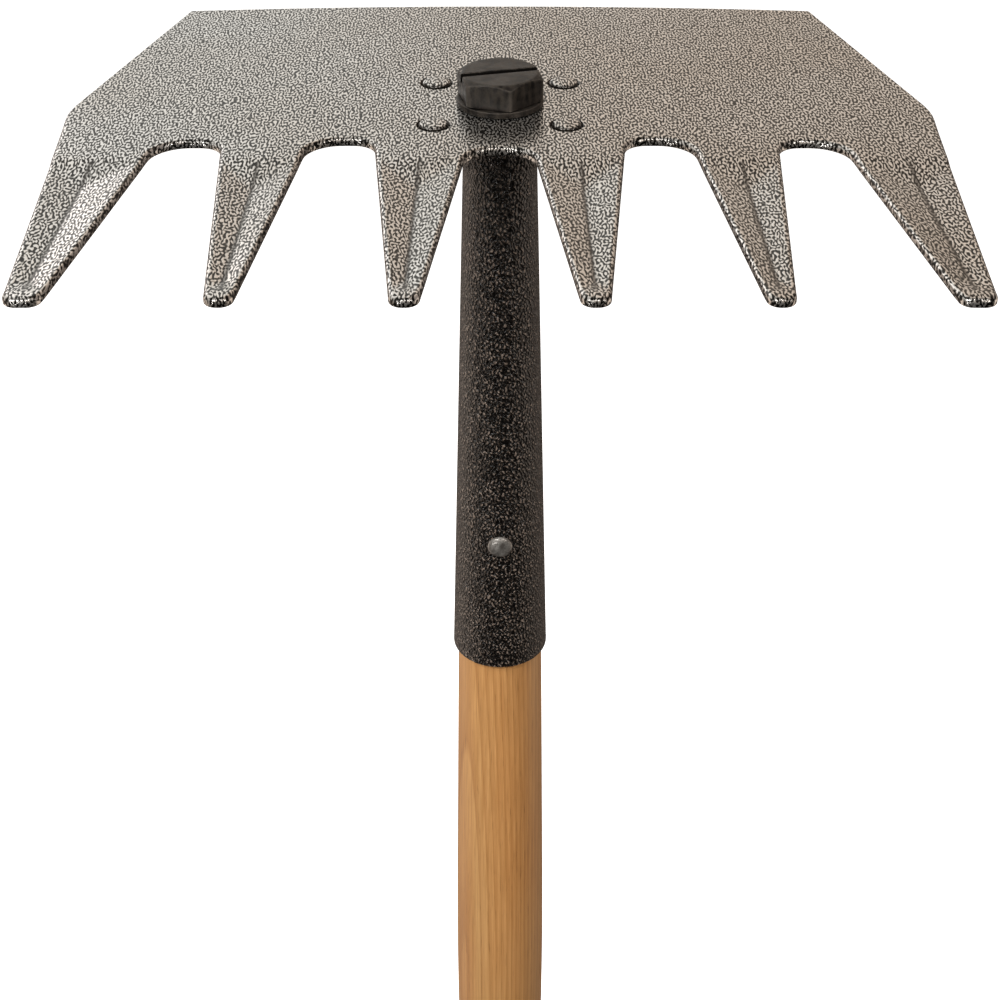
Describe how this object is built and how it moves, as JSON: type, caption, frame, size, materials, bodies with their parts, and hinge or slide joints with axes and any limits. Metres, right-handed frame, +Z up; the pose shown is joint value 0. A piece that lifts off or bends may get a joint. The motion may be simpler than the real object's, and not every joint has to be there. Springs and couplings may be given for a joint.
{
  "type": "rake-hoe fire tool",
  "caption": "Rake-hoe hand tool: flat steel head with rake teeth on one edge and a hoe on the other, screwed square to a socketed wooden handle.",
  "frame": {"origin": "centre of the flat on the handle's butt end", "axes": "+Z up the handle to the head, -Y the way the rake teeth point, +X to the right with the teeth facing the viewer and the head up"},
  "size_m": [0.3104, 0.2515, 1.286],
  "materials": {
    "blade_paint": "glossy silver-grey hammertone",
    "socket_paint": "glossy black hammertone",
    "black_oxide": "black oxide, satin",
    "bare_steel": "plain steel, satin",
    "ash": "lacquered ash, straight grain"
  },
  "bodies": {
    "handle_assembly": {"handle": "ash", "socket": "socket_paint", "threaded_plug": "bare_steel", "handle_rivet": "bare_steel"},
    "head": {"blade": "blade_paint", "head_bracket": "socket_paint", "rivet_1": "blade_paint", "rivet_2": "blade_paint", "rivet_3": "blade_paint", "rivet_4": "blade_paint", "lock_washer": "black_oxide"},
    "cap_screw": {"cap_screw": "black_oxide"}
  },
  "joints": [
    {"name": "head_lift", "type": "slide", "parent": "handle_assembly", "child": "head", "axis": [0, 0, 1], "range_m": [0, 0.0277]},
    {"name": "screw_turn", "type": "hinge", "parent": "head", "child": "cap_screw", "pos_m": [0, 0, 1.274], "axis": [0, 0, 1], "range_deg": [0, 4320]}
  ],
  "couplings": [
    {"joint": "screw_turn", "follows": "head_lift", "rad_per_m": 2721.1}
  ]
}
